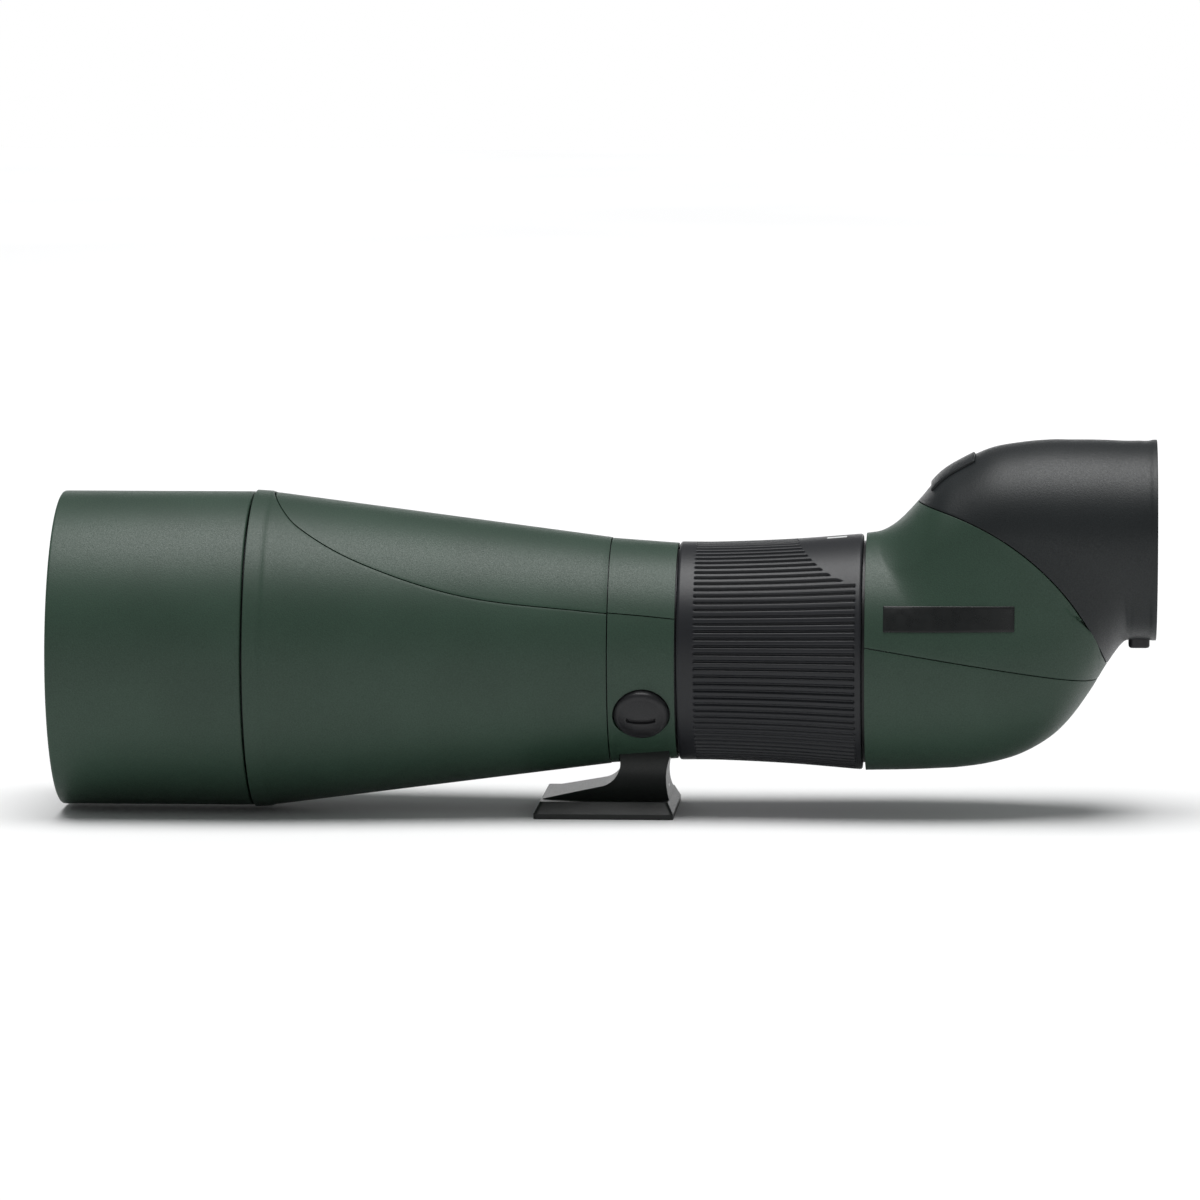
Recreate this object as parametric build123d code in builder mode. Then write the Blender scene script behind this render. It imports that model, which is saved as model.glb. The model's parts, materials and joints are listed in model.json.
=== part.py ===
"""Straight-view 80 mm spotting scope body on a rotating tripod ring, made as an assembly.

Frame: millimetres, +Z up, origin at the tripod thread in the middle of the foot's base.
The optical axis runs along X and the objective looks towards -X.
"""
import math
import os

from build123d import *

os.makedirs("parts", exist_ok=True)

# ---------------------------------------------------------------- driving dimensions
AXIS_Z = 49.0  # optical axis above the foot's base
EYEPIECE_Z = 83.5  # eyepiece axis above the foot's base
RUNNING = 0.05  # radial clearance of a running fit
SEAM = 0.3  # dark line left between two covers
COVER = 2.6  # wall of a housing shell with its armour
SCREW_R = 1.25  # small countersunk screws

# sun shade, at rest pushed right back over the objective tube
SHADE_FRONT, SHADE_REAR = -167.0, -107.9
SHADE_R = 48.0
SHADE_TUBE_IN, SHADE_TUBE_OUT = 45.0, 46.3
GLIDE_SEAT_R = 43.5
GLIDE_XS = (-155.5, -150.7)

# objective
BARREL_FRONT = -158.5
BARREL_R = 44.1
CELL_FRONT, CELL_REAR = -160.0, -132.0
CELL_R = 42.6
FILTER_THREAD_R = 40.6
LENS_R = 41.0
CLEAR_R = 40.0

# cone
CONE_FRONT, CONE_REAR = -107.3, 1.3
LIP_REAR = -102.5
CONE_FRONT_R, CONE_REAR_R = 47.6, 34.5
ARMOUR = 2.0
METAL = 2.5

# tripod ring
RING_FRONT, RING_REAR = 1.6, 21.7
RING_MID = (RING_FRONT + RING_REAR) / 2
RING_FRONT_R, RING_REAR_R = 34.3, 32.9
HUB_R = 31.5
BEARING_R = 28.0
KNOB_TILT = 30.0  # clamp axis below the horizontal
KNOB_R = 8.4

# foot
FOOT_X, FOOT_Y = 42.4, 52.5
FOOT_EDGE = 1.6
FOOT_TOP = 5.0
THREAD_MINOR_R = 2.49  # 1/4-20 UNC

# focusing
FOCUS_FRONT, FOCUS_REAR = 22.3, 78.0
FOCUS_MID = 45.0
FOCUS_TRAVEL = 18.0
FOCUS_TURN = 300.0
PIN_R = 1.5
CARRIAGE_R = 25.6

# prism housing
HOUSING_FRONT = 79.0
HOUSING_R = 36.1
COLLAR_FRONT, COLLAR_REAR, COLLAR_R = 157.0, 166.9, 30.5
SOCKET_R = 23.0

SECTION_PLANE = Plane(origin=(0, 0, AXIS_Z), x_dir=(1, 0, 0), z_dir=(0, -1, 0))
SIDE_PLANE = Plane.XZ
OPTICAL_AXIS = Axis((0, 0, AXIS_Z), (1, 0, 0))
EYEPIECE_PLANE = Plane(origin=(0, 0, EYEPIECE_Z), x_dir=(1, 0, 0), z_dir=(0, -1, 0))
EYEPIECE_AXIS = Axis((0, 0, EYEPIECE_Z), (1, 0, 0))
WIDE = 120.0  # reaches past every side of the object


def save(builder, label):
    """Name one finished piece and write it."""
    builder.part.label = label
    export_step(builder.part, f"parts/{label}.step")


def half_section(*points, plane=SECTION_PLANE):
    """Closed half section beside an axis along X; each point is (x, radius)."""
    with BuildSketch(plane) as section:
        with BuildLine():
            Polyline(*points, close=True)
        make_face()
    return section.sketch


def ring_section(front, rear, inner, outer, plane=SECTION_PLANE):
    """Half section of a plain ring."""
    return half_section((front, inner), (rear, inner), (rear, outer), (front, outer), plane=plane)


def lens_section(front, rear, front_sag, rear_sag, radius):
    """Half section of a lens from its two rims; a positive sag bulges outwards."""

    def surface(rim, sag):
        if abs(sag) < 0.01:
            return Line((rim, 0), (rim, radius))
        curve_r = (radius**2 + sag**2) / (2 * abs(sag))
        mid = curve_r - math.sqrt(curve_r**2 - radius**2 / 4)
        return ThreePointArc(
            (rim + sag, 0), (rim + sag - math.copysign(mid, sag), radius / 2), (rim, radius)
        )

    with BuildSketch(SECTION_PLANE) as section:
        with BuildLine():
            first = surface(front, -front_sag)
            second = surface(rear, rear_sag)
            Line(first @ 0, second @ 0)
            Line(first @ 1, second @ 1)
        make_face()
    return section.sketch


def cone_radius(x):
    """Outer radius of the cone's armour at a station."""
    share = (x + 100.0) / (CONE_REAR + 100.0)
    return CONE_FRONT_R + share * (CONE_REAR_R - CONE_FRONT_R)


def side_block(sketch):
    """A side-view region carried right through the object."""
    with BuildPart() as block:
        extrude(sketch, amount=WIDE, both=True)
    return block.part


# ---------------------------------------------------------------- sun shade
with BuildPart() as sun_shade_tube:
    lip_front, lip_rear = SHADE_REAR - 1.8, SHADE_REAR - 0.3
    revolve(
        half_section(
            (SHADE_FRONT + 0.8, SHADE_TUBE_IN),
            (lip_front, SHADE_TUBE_IN),
            (lip_front, BARREL_R + 0.2),
            (lip_rear, BARREL_R + 0.2),
            (lip_rear, SHADE_TUBE_OUT),
            (SHADE_FRONT + 0.8, SHADE_TUBE_OUT),
        ),
        axis=OPTICAL_AXIS,
    )
save(sun_shade_tube, "sun_shade_tube")

with BuildPart() as sun_shade_armour:
    revolve(
        half_section(
            (SHADE_FRONT, SHADE_TUBE_IN),
            (SHADE_FRONT + 0.8, SHADE_TUBE_IN),
            (SHADE_FRONT + 0.8, SHADE_TUBE_OUT),
            (SHADE_REAR, SHADE_TUBE_OUT),
            (SHADE_REAR, SHADE_R),
            (SHADE_FRONT, SHADE_R),
        ),
        axis=OPTICAL_AXIS,
    )
    rims = sun_shade_armour.edges().filter_by(GeomType.CIRCLE).sort_by(SortBy.RADIUS)[-2:]
    fillet(rims, radius=1.0)
save(sun_shade_armour, "sun_shade_armour")

with BuildPart() as shade_glide_rings:
    for glide_x in GLIDE_XS:
        revolve(
            ring_section(glide_x - 1.0, glide_x + 1.0, GLIDE_SEAT_R, SHADE_TUBE_IN - RUNNING),
            axis=OPTICAL_AXIS,
        )
save(shade_glide_rings, "shade_glide_rings")

# ---------------------------------------------------------------- objective
with BuildPart() as objective_barrel:
    thread_front = -14.0
    thread_r = BEARING_R + 2.7
    revolve(
        half_section(
            (BARREL_FRONT, CELL_R),
            (CELL_REAR, CELL_R),
            (CELL_REAR, 42.0),
            (-106.0, 42.0),
            (-102.0, cone_radius(-102.0) - ARMOUR - METAL),
            (thread_front, cone_radius(thread_front) - ARMOUR - METAL),
            (thread_front, thread_r),
            (CONE_REAR, thread_r),
            (CONE_REAR, cone_radius(CONE_REAR) - ARMOUR),
            (LIP_REAR, cone_radius(LIP_REAR) - ARMOUR),
            (CONE_FRONT, 46.2),
            (CONE_FRONT, BARREL_R),
            (BARREL_FRONT, BARREL_R),
        ),
        axis=OPTICAL_AXIS,
    )
    for glide_x in GLIDE_XS:
        revolve(
            ring_section(glide_x - 1.0, glide_x + 1.0, GLIDE_SEAT_R, BARREL_R + 1.0),
            axis=OPTICAL_AXIS,
            mode=Mode.SUBTRACT,
        )
save(objective_barrel, "objective_barrel")

THREAD_REAR, SEAT_FRONT = -155.0, -151.5
FRONT_LENS_REAR = SEAT_FRONT + 4.5
REAR_LENS_FRONT = FRONT_LENS_REAR + 0.8
REAR_LENS_REAR = REAR_LENS_FRONT + 7.7

with BuildPart() as lens_cell:
    revolve(
        half_section(
            (CELL_FRONT, FILTER_THREAD_R),
            (THREAD_REAR, FILTER_THREAD_R),
            (THREAD_REAR, CLEAR_R),
            (SEAT_FRONT, CLEAR_R),
            (SEAT_FRONT, LENS_R),
            (CELL_REAR, LENS_R),
            (CELL_REAR, CELL_R),
            (BARREL_FRONT, CELL_R),
            (BARREL_FRONT, BARREL_R),
            (CELL_FRONT, BARREL_R),
        ),
        axis=OPTICAL_AXIS,
    )
save(lens_cell, "lens_cell")

with BuildPart() as front_objective_lens:
    revolve(lens_section(SEAT_FRONT + 0.2, FRONT_LENS_REAR - 0.2, 3.2, 3.2, LENS_R), axis=OPTICAL_AXIS)
save(front_objective_lens, "front_objective_lens")

with BuildPart() as lens_spacer:
    revolve(ring_section(FRONT_LENS_REAR, REAR_LENS_FRONT, CLEAR_R, LENS_R), axis=OPTICAL_AXIS)
save(lens_spacer, "lens_spacer")

with BuildPart() as rear_objective_lens:
    revolve(lens_section(REAR_LENS_FRONT, REAR_LENS_REAR, -3.2, 0.0, LENS_R), axis=OPTICAL_AXIS)
save(rear_objective_lens, "rear_objective_lens")

with BuildPart() as objective_retaining_ring:
    revolve(ring_section(REAR_LENS_REAR, REAR_LENS_REAR + 4.0, 38.8, LENS_R), axis=OPTICAL_AXIS)
save(objective_retaining_ring, "objective_retaining_ring")

for label, baffle_x, bore_r in (("front_baffle", -92.0, 34.0), ("rear_baffle", -48.0, 27.5)):
    with BuildPart() as baffle:
        seat = cone_radius(baffle_x) - ARMOUR - METAL
        seat_rear = cone_radius(baffle_x + 4.0) - ARMOUR - METAL
        revolve(
            half_section(
                (baffle_x, bore_r),
                (baffle_x + 1.0, bore_r),
                (baffle_x + 1.0, seat_rear - 1.0),
                (baffle_x + 4.0, seat_rear - 1.0),
                (baffle_x + 4.0, seat_rear),
                (baffle_x, seat),
            ),
            axis=OPTICAL_AXIS,
        )
    save(baffle, label)

# ---------------------------------------------------------------- seam along the cone and ring
SEAM_POINTS = (
    (-102.3, 97.6),
    (-93.0, 88.7),
    (-73.0, 78.2),
    (-42.5, 68.6),
    (-6.5, 64.0),
    (24.0, 61.2),
)


def above_cone_seam(shift):
    """Region over the curved seam in side view, moved up by shift."""
    with BuildSketch(SIDE_PLANE) as region:
        with BuildLine():
            seam = Spline(*[(x, z + shift) for x, z in SEAM_POINTS])
            Polyline(seam @ 1, (24.0, WIDE), (-102.3, WIDE), seam @ 0)
        make_face()
    return side_block(region.sketch)


def cone_cover_section():
    """Half section of the armour round the cone, with its raised front lip."""
    return half_section(
        (CONE_FRONT, 46.2),
        (LIP_REAR, cone_radius(LIP_REAR) - ARMOUR),
        (CONE_REAR, CONE_REAR_R - ARMOUR),
        (CONE_REAR, CONE_REAR_R),
        (-100.0, CONE_FRONT_R),
        (LIP_REAR, 48.2),
        (CONE_FRONT, 48.5),
    )


with BuildPart() as cone_armour:
    revolve(cone_cover_section(), axis=OPTICAL_AXIS)
    add(above_cone_seam(-SEAM / 2), mode=Mode.SUBTRACT)
save(cone_armour, "cone_armour")

with BuildPart() as cone_top_panel:
    revolve(cone_cover_section(), axis=OPTICAL_AXIS)
    add(above_cone_seam(SEAM / 2), mode=Mode.INTERSECT)
save(cone_top_panel, "cone_top_panel")

# ---------------------------------------------------------------- tripod ring and clamp
CLAMP_ANGLE = math.radians(KNOB_TILT)
CLAMP_OUT = Vector(0, -math.cos(CLAMP_ANGLE), -math.sin(CLAMP_ANGLE))
RING_CENTRE = Vector(RING_MID, 0, AXIS_Z)
CLAMP_SECTION = Plane(origin=RING_CENTRE, x_dir=(1, 0, 0), z_dir=Vector(1, 0, 0).cross(CLAMP_OUT))
SHOE_R, SHOE_SEAT, SHOE_THICK = 3.5, 30.1, 1.65
KNOB_BASE, KNOB_RIM, KNOB_TOP = 31.9, 34.0, 37.3
SPINDLE_R = 2.5
BALL_R = 1.0
PILLAR_FRONT, PILLAR_REAR, PILLAR_HALF = 4.4, 19.4, 15.5
FOOT_SCREW_XS = (9.0, 16.0)
FOOT_SCREW_R, FOOT_SCREW_HEAD_R, FOOT_SCREW_SEAT = 1.9, 3.0, 8.0


def clamp_plane(distance):
    """Plane square to the clamp's axis, at a distance from the optical axis."""
    return Plane(origin=RING_CENTRE + CLAMP_OUT * distance, x_dir=(1, 0, 0), z_dir=CLAMP_OUT)


def ring_cover_section():
    """Half section of the armour round the tripod ring."""
    return half_section(
        (RING_FRONT, HUB_R), (RING_REAR, HUB_R), (RING_REAR, RING_REAR_R), (RING_FRONT, RING_FRONT_R)
    )


with BuildPart() as tripod_ring:
    revolve(ring_section(2.0, 20.4, BEARING_R + RUNNING, HUB_R), axis=OPTICAL_AXIS)
    with BuildSketch(clamp_plane(BEARING_R - 3.0)):
        Circle(SHOE_R + 0.1)
    extrude(amount=SHOE_SEAT - BEARING_R + 3.0, mode=Mode.SUBTRACT)
    with BuildSketch(clamp_plane(SHOE_SEAT - 1.0)):
        Circle(SPINDLE_R)
    extrude(amount=5.0, mode=Mode.SUBTRACT)
    with BuildSketch(Plane.XY.offset(AXIS_Z + BEARING_R - 2.0)):
        with Locations((RING_MID, 0)):
            Circle(BALL_R + RUNNING)
    extrude(amount=6.0, mode=Mode.SUBTRACT)
    with BuildSketch(Plane.XY.offset(FOOT_SCREW_SEAT)):
        with Locations(*[(x, 0) for x in FOOT_SCREW_XS]):
            Circle(FOOT_SCREW_R)
    extrude(amount=12.2, mode=Mode.SUBTRACT)
save(tripod_ring, "tripod_ring")

with BuildPart() as clamp_shoe:
    with BuildSketch(clamp_plane(BEARING_R - 2.0)):
        Circle(SHOE_R)
    extrude(amount=SHOE_THICK + 2.0)
    revolve(
        ring_section(RING_FRONT, RING_REAR, 0.0, BEARING_R + RUNNING),
        axis=OPTICAL_AXIS,
        mode=Mode.SUBTRACT,
    )
save(clamp_shoe, "clamp_shoe")

with BuildPart() as clamp_knob:
    dome = KNOB_TOP - KNOB_RIM
    dome_r = (KNOB_R**2 + dome**2) / (2 * dome)
    half_drop = dome_r - math.sqrt(dome_r**2 - KNOB_R**2 / 4)
    with BuildSketch(CLAMP_SECTION):
        with BuildLine():
            cap = ThreePointArc(
                (0, KNOB_TOP), (KNOB_R / 2, KNOB_TOP - half_drop), (KNOB_R, KNOB_RIM)
            )
            Polyline(
                cap @ 1,
                (KNOB_R, KNOB_BASE),
                (SPINDLE_R - RUNNING, KNOB_BASE),
                (SPINDLE_R - RUNNING, SHOE_SEAT + RUNNING),
                (0, SHOE_SEAT + RUNNING),
                cap @ 0,
            )
        make_face()
    revolve(axis=Axis(RING_CENTRE, CLAMP_OUT))
    with BuildSketch(clamp_plane(KNOB_TOP - 1.0)):
        Rectangle(9.0, 1.6)
    extrude(amount=2.0, mode=Mode.SUBTRACT)
save(clamp_knob, "clamp_knob")

with BuildPart() as click_ball:
    with Locations((RING_MID, 0, AXIS_Z + BEARING_R + BALL_R + RUNNING)):
        Sphere(BALL_R)
save(click_ball, "click_ball")

with BuildPart() as click_spring:
    spring_foot = AXIS_Z + BEARING_R + 2 * BALL_R + 2 * RUNNING
    with BuildSketch(Plane.XY.offset(spring_foot)):
        with Locations((RING_MID, 0)):
            Circle(BALL_R)
            Circle(BALL_R - 0.35, mode=Mode.SUBTRACT)
    extrude(amount=AXIS_Z + HUB_R - 0.05 - spring_foot)
save(click_spring, "click_spring")

with BuildPart() as ring_armour:
    revolve(ring_cover_section(), axis=OPTICAL_AXIS)
    add(above_cone_seam(-SEAM / 2), mode=Mode.SUBTRACT)
    with BuildSketch(Plane.XY):
        with Locations(((PILLAR_FRONT + PILLAR_REAR) / 2, 0)):
            Rectangle(PILLAR_REAR - PILLAR_FRONT + SEAM, 2 * PILLAR_HALF + SEAM)
    extrude(amount=AXIS_Z, mode=Mode.SUBTRACT)
    with BuildSketch(clamp_plane(HUB_R - 4.0)):
        Circle(KNOB_R + 0.35)
    extrude(amount=12.0, mode=Mode.SUBTRACT)
save(ring_armour, "ring_armour")

with BuildPart() as ring_top_panel:
    revolve(ring_cover_section(), axis=OPTICAL_AXIS)
    add(above_cone_seam(SEAM / 2), mode=Mode.INTERSECT)
save(ring_top_panel, "ring_top_panel")

# ---------------------------------------------------------------- foot
TOE_X, TOE_Z = -18.8, 5.2
WAIST_HALF, WAIST_Z = 11.5, 12.0
FLANK_HALF = 22.8
PILLAR_TOP = 22.0
INSERT_R, INSERT_HIGH = 4.6, 6.5
PIN_HOLE_X, PIN_HOLE_R, PIN_HOLE_DEEP = -13.5, 2.3, 4.0

with BuildPart() as pillar_side:
    with BuildSketch(SIDE_PLANE):
        with BuildLine():
            Polyline((TOE_X, FOOT_EDGE), (TOE_X, TOE_Z), (-1.0, 8.6))
            ThreePointArc((-1.0, 8.6), (3.0, 11.2), (PILLAR_FRONT, 16.0))
            Polyline((PILLAR_FRONT, 16.0), (PILLAR_FRONT, PILLAR_TOP), (PILLAR_REAR, PILLAR_TOP))
            Line((PILLAR_REAR, PILLAR_TOP), (PILLAR_REAR, 17.0))
            ThreePointArc((PILLAR_REAR, 17.0), (18.4, 11.0), (19.6, FOOT_TOP))
            Polyline((19.6, FOOT_TOP), (19.6, FOOT_EDGE), (TOE_X, FOOT_EDGE))
        make_face()
    extrude(amount=FOOT_Y / 2, both=True)

with BuildPart() as pillar_front:
    with BuildSketch(Plane.YZ):
        with BuildLine():
            near = ThreePointArc((-FLANK_HALF, TOE_Z - 1.0), (-WAIST_HALF, WAIST_Z), (-PILLAR_HALF, PILLAR_TOP))
            far = ThreePointArc((FLANK_HALF, TOE_Z - 1.0), (WAIST_HALF, WAIST_Z), (PILLAR_HALF, PILLAR_TOP))
            Line(near @ 1, far @ 1)
            Polyline(near @ 0, (-FLANK_HALF, FOOT_EDGE), (FLANK_HALF, FOOT_EDGE), far @ 0)
        make_face()
    extrude(amount=FOOT_X / 2, both=True)

with BuildPart() as tripod_foot:
    with BuildSketch(Plane.XY):
        RectangleRounded(FOOT_X, FOOT_Y, 1.2)
    extrude(amount=FOOT_EDGE)
    with BuildSketch(Plane.XY.offset(FOOT_EDGE)):
        RectangleRounded(FOOT_X, FOOT_Y, 1.2)
    with BuildSketch(Plane.XY.offset(FOOT_TOP)):
        RectangleRounded(FOOT_X - 3.6, FOOT_Y - 6.4, 1.2)
    loft()
    add(pillar_side.part & pillar_front.part)
    revolve(ring_section(RING_FRONT - 4, RING_REAR, 0.0, HUB_R), axis=OPTICAL_AXIS, mode=Mode.SUBTRACT)
    with BuildSketch(Plane.XY):
        Circle(INSERT_R)
    extrude(amount=INSERT_HIGH, mode=Mode.SUBTRACT)
    with BuildSketch(Plane.XY):
        with Locations((PIN_HOLE_X, 0)):
            Circle(PIN_HOLE_R)
    extrude(amount=PIN_HOLE_DEEP, mode=Mode.SUBTRACT)
    with BuildSketch(Plane.XY):
        with Locations(*[(x, 0) for x in FOOT_SCREW_XS]):
            Circle(FOOT_SCREW_HEAD_R)
    extrude(amount=FOOT_SCREW_SEAT, mode=Mode.SUBTRACT)
    with BuildSketch(Plane.XY):
        with Locations(*[(x, 0) for x in FOOT_SCREW_XS]):
            Circle(FOOT_SCREW_R)
    extrude(amount=PILLAR_TOP, mode=Mode.SUBTRACT)
save(tripod_foot, "tripod_foot")

with BuildPart() as foot_screws:
    head_low = FOOT_SCREW_SEAT - 3.2
    with BuildSketch(Plane.XY.offset(head_low)):
        with Locations(*[(x, 0) for x in FOOT_SCREW_XS]):
            Circle(FOOT_SCREW_HEAD_R - 0.1)
    extrude(amount=3.2)
    with BuildSketch(Plane.XY.offset(FOOT_SCREW_SEAT)):
        with Locations(*[(x, 0) for x in FOOT_SCREW_XS]):
            Circle(FOOT_SCREW_R)
    extrude(amount=12.0)
    with BuildSketch(Plane.XY.offset(head_low)):
        with Locations(*[(x, 0) for x in FOOT_SCREW_XS]):
            RegularPolygon(1.5, 6)
    extrude(amount=2.0, mode=Mode.SUBTRACT)
save(foot_screws, "foot_screws")

with BuildPart() as thread_insert:
    with BuildSketch(Plane.XY):
        Circle(INSERT_R)
        Circle(THREAD_MINOR_R, mode=Mode.SUBTRACT)
    extrude(amount=INSERT_HIGH)
save(thread_insert, "thread_insert")

# ---------------------------------------------------------------- focusing
CORE_FRONT, CORE_REAR = 22.5, 77.9
CORE_FRONT_R, CORE_REAR_R = 30.6, 33.2
FLARE_FRONT = 34.0
GRIP_FRONT_R, GRIP_REAR_R = 33.3, 35.9
FLANGE_REAR, FLANGE_R = 82.0, 32.6
GROOVE_R = 29.8
GROOVE_HALF_ANGLE = FOCUS_TURN / 2 + 6.0
PITCH = FOCUS_TRAVEL * 360.0 / FOCUS_TURN
SEAL_XS = (24.6, 75.0)
CARRIAGE_HALF = 9.0
FOCUS_LENS_R = 22.6

with BuildPart() as focus_barrel:
    revolve(
        half_section(
            (thread_front, CARRIAGE_R),
            (FLANGE_REAR, CARRIAGE_R),
            (FLANGE_REAR, FLANGE_R),
            (HOUSING_FRONT, FLANGE_R),
            (HOUSING_FRONT, BEARING_R),
            (CONE_REAR, BEARING_R),
            (CONE_REAR, thread_r),
            (thread_front, thread_r),
        ),
        axis=OPTICAL_AXIS,
    )
    with BuildSketch(Plane.XY.offset(AXIS_Z + CARRIAGE_R - 3.0)):
        with Locations((FOCUS_MID, 0)):
            SlotCenterToCenter(FOCUS_TRAVEL + 0.4, 2 * (PIN_R + RUNNING))
    extrude(amount=10.0, mode=Mode.SUBTRACT)
    for seal_x in SEAL_XS:
        revolve(ring_section(seal_x - 0.8, seal_x + 0.8, BEARING_R - 0.8, BEARING_R + 1.0),
                axis=OPTICAL_AXIS, mode=Mode.SUBTRACT)
    with BuildSketch(Plane(origin=(HOUSING_FRONT, 0, AXIS_Z), x_dir=(0, 1, 0), z_dir=(1, 0, 0))):
        with PolarLocations(30.2, 4, start_angle=45):
            Circle(SCREW_R)
    extrude(amount=FLANGE_REAR - HOUSING_FRONT, mode=Mode.SUBTRACT)
save(focus_barrel, "focus_barrel")

with BuildPart() as ring_retaining_nut:
    revolve(ring_section(20.6, 22.0, BEARING_R, 30.9), axis=OPTICAL_AXIS)
save(ring_retaining_nut, "ring_retaining_nut")

with BuildPart() as focus_seals:
    for seal_x in SEAL_XS:
        revolve(ring_section(seal_x - 0.8, seal_x + 0.8, BEARING_R - 0.8, BEARING_R), axis=OPTICAL_AXIS)
save(focus_seals, "focus_seals")

with BuildPart() as focus_washer:
    revolve(ring_section(FOCUS_REAR + 0.2, HOUSING_FRONT, BEARING_R, 33.8), axis=OPTICAL_AXIS)
save(focus_washer, "focus_washer")

# helical groove that drives the follower pin, cut about its own Z and then laid along X
with BuildPart() as groove_cutter:
    groove_mid_r = (BEARING_R - 1.0 + GROOVE_R) / 2
    with BuildLine():
        track = Helix(PITCH, PITCH * GROOVE_HALF_ANGLE / 180.0, groove_mid_r)
    with BuildSketch(Plane(origin=track @ 0, x_dir=(1, 0, 0), z_dir=track % 0)):
        Rectangle(GROOVE_R - BEARING_R + 1.0, 2 * PIN_R + 0.4)
    sweep(path=track, is_frenet=True)

groove_start = math.radians(90.0 - GROOVE_HALF_ANGLE)
GROOVE_PLANE = Plane(
    origin=(FOCUS_MID - PITCH * GROOVE_HALF_ANGLE / 360.0, 0, AXIS_Z),
    x_dir=(0, math.cos(groove_start), math.sin(groove_start)),
    z_dir=(1, 0, 0),
)

with BuildPart() as focus_ring_core:
    revolve(
        half_section(
            (CORE_FRONT, BEARING_R + RUNNING),
            (CORE_REAR, BEARING_R + RUNNING),
            (CORE_REAR, CORE_REAR_R),
            (FLARE_FRONT, CORE_FRONT_R),
            (CORE_FRONT, CORE_FRONT_R),
        ),
        axis=OPTICAL_AXIS,
    )
    add(groove_cutter.part.moved(GROOVE_PLANE.location), mode=Mode.SUBTRACT)
save(focus_ring_core, "focus_ring_core")

with BuildPart() as focus_grip:
    with BuildSketch(SECTION_PLANE):
        with BuildLine():
            flare = ThreePointArc(
                (FLARE_FRONT, GRIP_FRONT_R), (56.0, 34.25), (FOCUS_REAR - 0.8, GRIP_REAR_R)
            )
            Polyline(
                flare @ 1,
                (FOCUS_REAR, GRIP_REAR_R),
                (FOCUS_REAR, CORE_REAR_R),
                (CORE_REAR, CORE_REAR_R),
                (FLARE_FRONT, CORE_FRONT_R),
                (FOCUS_FRONT, CORE_FRONT_R),
                (FOCUS_FRONT, GRIP_FRONT_R),
                flare @ 0,
            )
        make_face()
    revolve(axis=OPTICAL_AXIS)
save(focus_grip, "focus_grip")

with BuildPart() as focus_carriage:
    front, rear = FOCUS_MID - CARRIAGE_HALF, FOCUS_MID + CARRIAGE_HALF
    revolve(
        half_section(
            (front, 21.0),
            (front + 3.0, 21.0),
            (front + 3.0, FOCUS_LENS_R),
            (rear, FOCUS_LENS_R),
            (rear, CARRIAGE_R - RUNNING),
            (front, CARRIAGE_R - RUNNING),
        ),
        axis=OPTICAL_AXIS,
    )
    with BuildSketch(Plane.XY.offset(AXIS_Z + CARRIAGE_R - 1.8)):
        with Locations((FOCUS_MID, 0)):
            Circle(PIN_R)
    extrude(amount=5.0, mode=Mode.SUBTRACT)
save(focus_carriage, "focus_carriage")

with BuildPart() as focus_pin:
    with BuildSketch(Plane.XY.offset(AXIS_Z + CARRIAGE_R - 1.8)):
        with Locations((FOCUS_MID, 0)):
            Circle(PIN_R)
    extrude(amount=5.5)
save(focus_pin, "focus_pin")

with BuildPart() as focusing_lens:
    lens_front = FOCUS_MID - CARRIAGE_HALF + 3.0
    revolve(lens_section(lens_front, lens_front + 8.0, -2.4, -2.4, FOCUS_LENS_R), axis=OPTICAL_AXIS)
save(focusing_lens, "focusing_lens")

with BuildPart() as focus_lens_retainer:
    retainer_front = lens_front + 8.0
    revolve(ring_section(retainer_front, retainer_front + 3.0, 21.0, FOCUS_LENS_R), axis=OPTICAL_AXIS)
save(focus_lens_retainer, "focus_lens_retainer")

# ---------------------------------------------------------------- prism housing
# each station: x, bottom, top, radius of the lower round, radius of the upper round
HOUSING_STATIONS = (
    (HOUSING_FRONT, AXIS_Z - HOUSING_R, 85.2, HOUSING_R, 33.0),
    (84.0, 13.0, 86.2, 36.1, 32.0),
    (89.0, 13.1, 89.4, 36.0, 30.5),
    (95.2, 13.3, 95.9, 35.9, 29.0),
    (101.3, 13.6, 103.0, 35.7, 28.3),
    (107.4, 14.0, 107.1, 35.3, 28.3),
    (116.6, 15.4, 111.4, 34.3, 29.0),
    (126.0, 18.2, 113.2, 32.8, 30.0),
    (134.9, 23.3, 114.0, 31.0, COLLAR_R),
    (141.0, 29.2, 114.0, 29.6, COLLAR_R),
    (147.1, 37.7, 114.0, 28.6, COLLAR_R),
    (152.0, 45.8, 114.0, 28.0, COLLAR_R),
    (COLLAR_FRONT, 51.9, 114.0, 28.4, COLLAR_R),
)
BOUNDARY_X, BOUNDARY_Z, BOUNDARY_R = 80.2, 20.3, 76.4
SHELL_SEAM = ((70.0, 55.1), (160.0, 39.9))
BADGE_X0, BADGE_X1, BADGE_Z, BADGE_HIGH = 84.6, 124.0, 62.2, 7.7
TOP_PLATE_X0, TOP_PLATE_X1, TOP_PLATE_WIDE = 98.5, 112.0, 20.0
PLATE_STAND, PLATE_SINK = 0.4, 0.8


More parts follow.
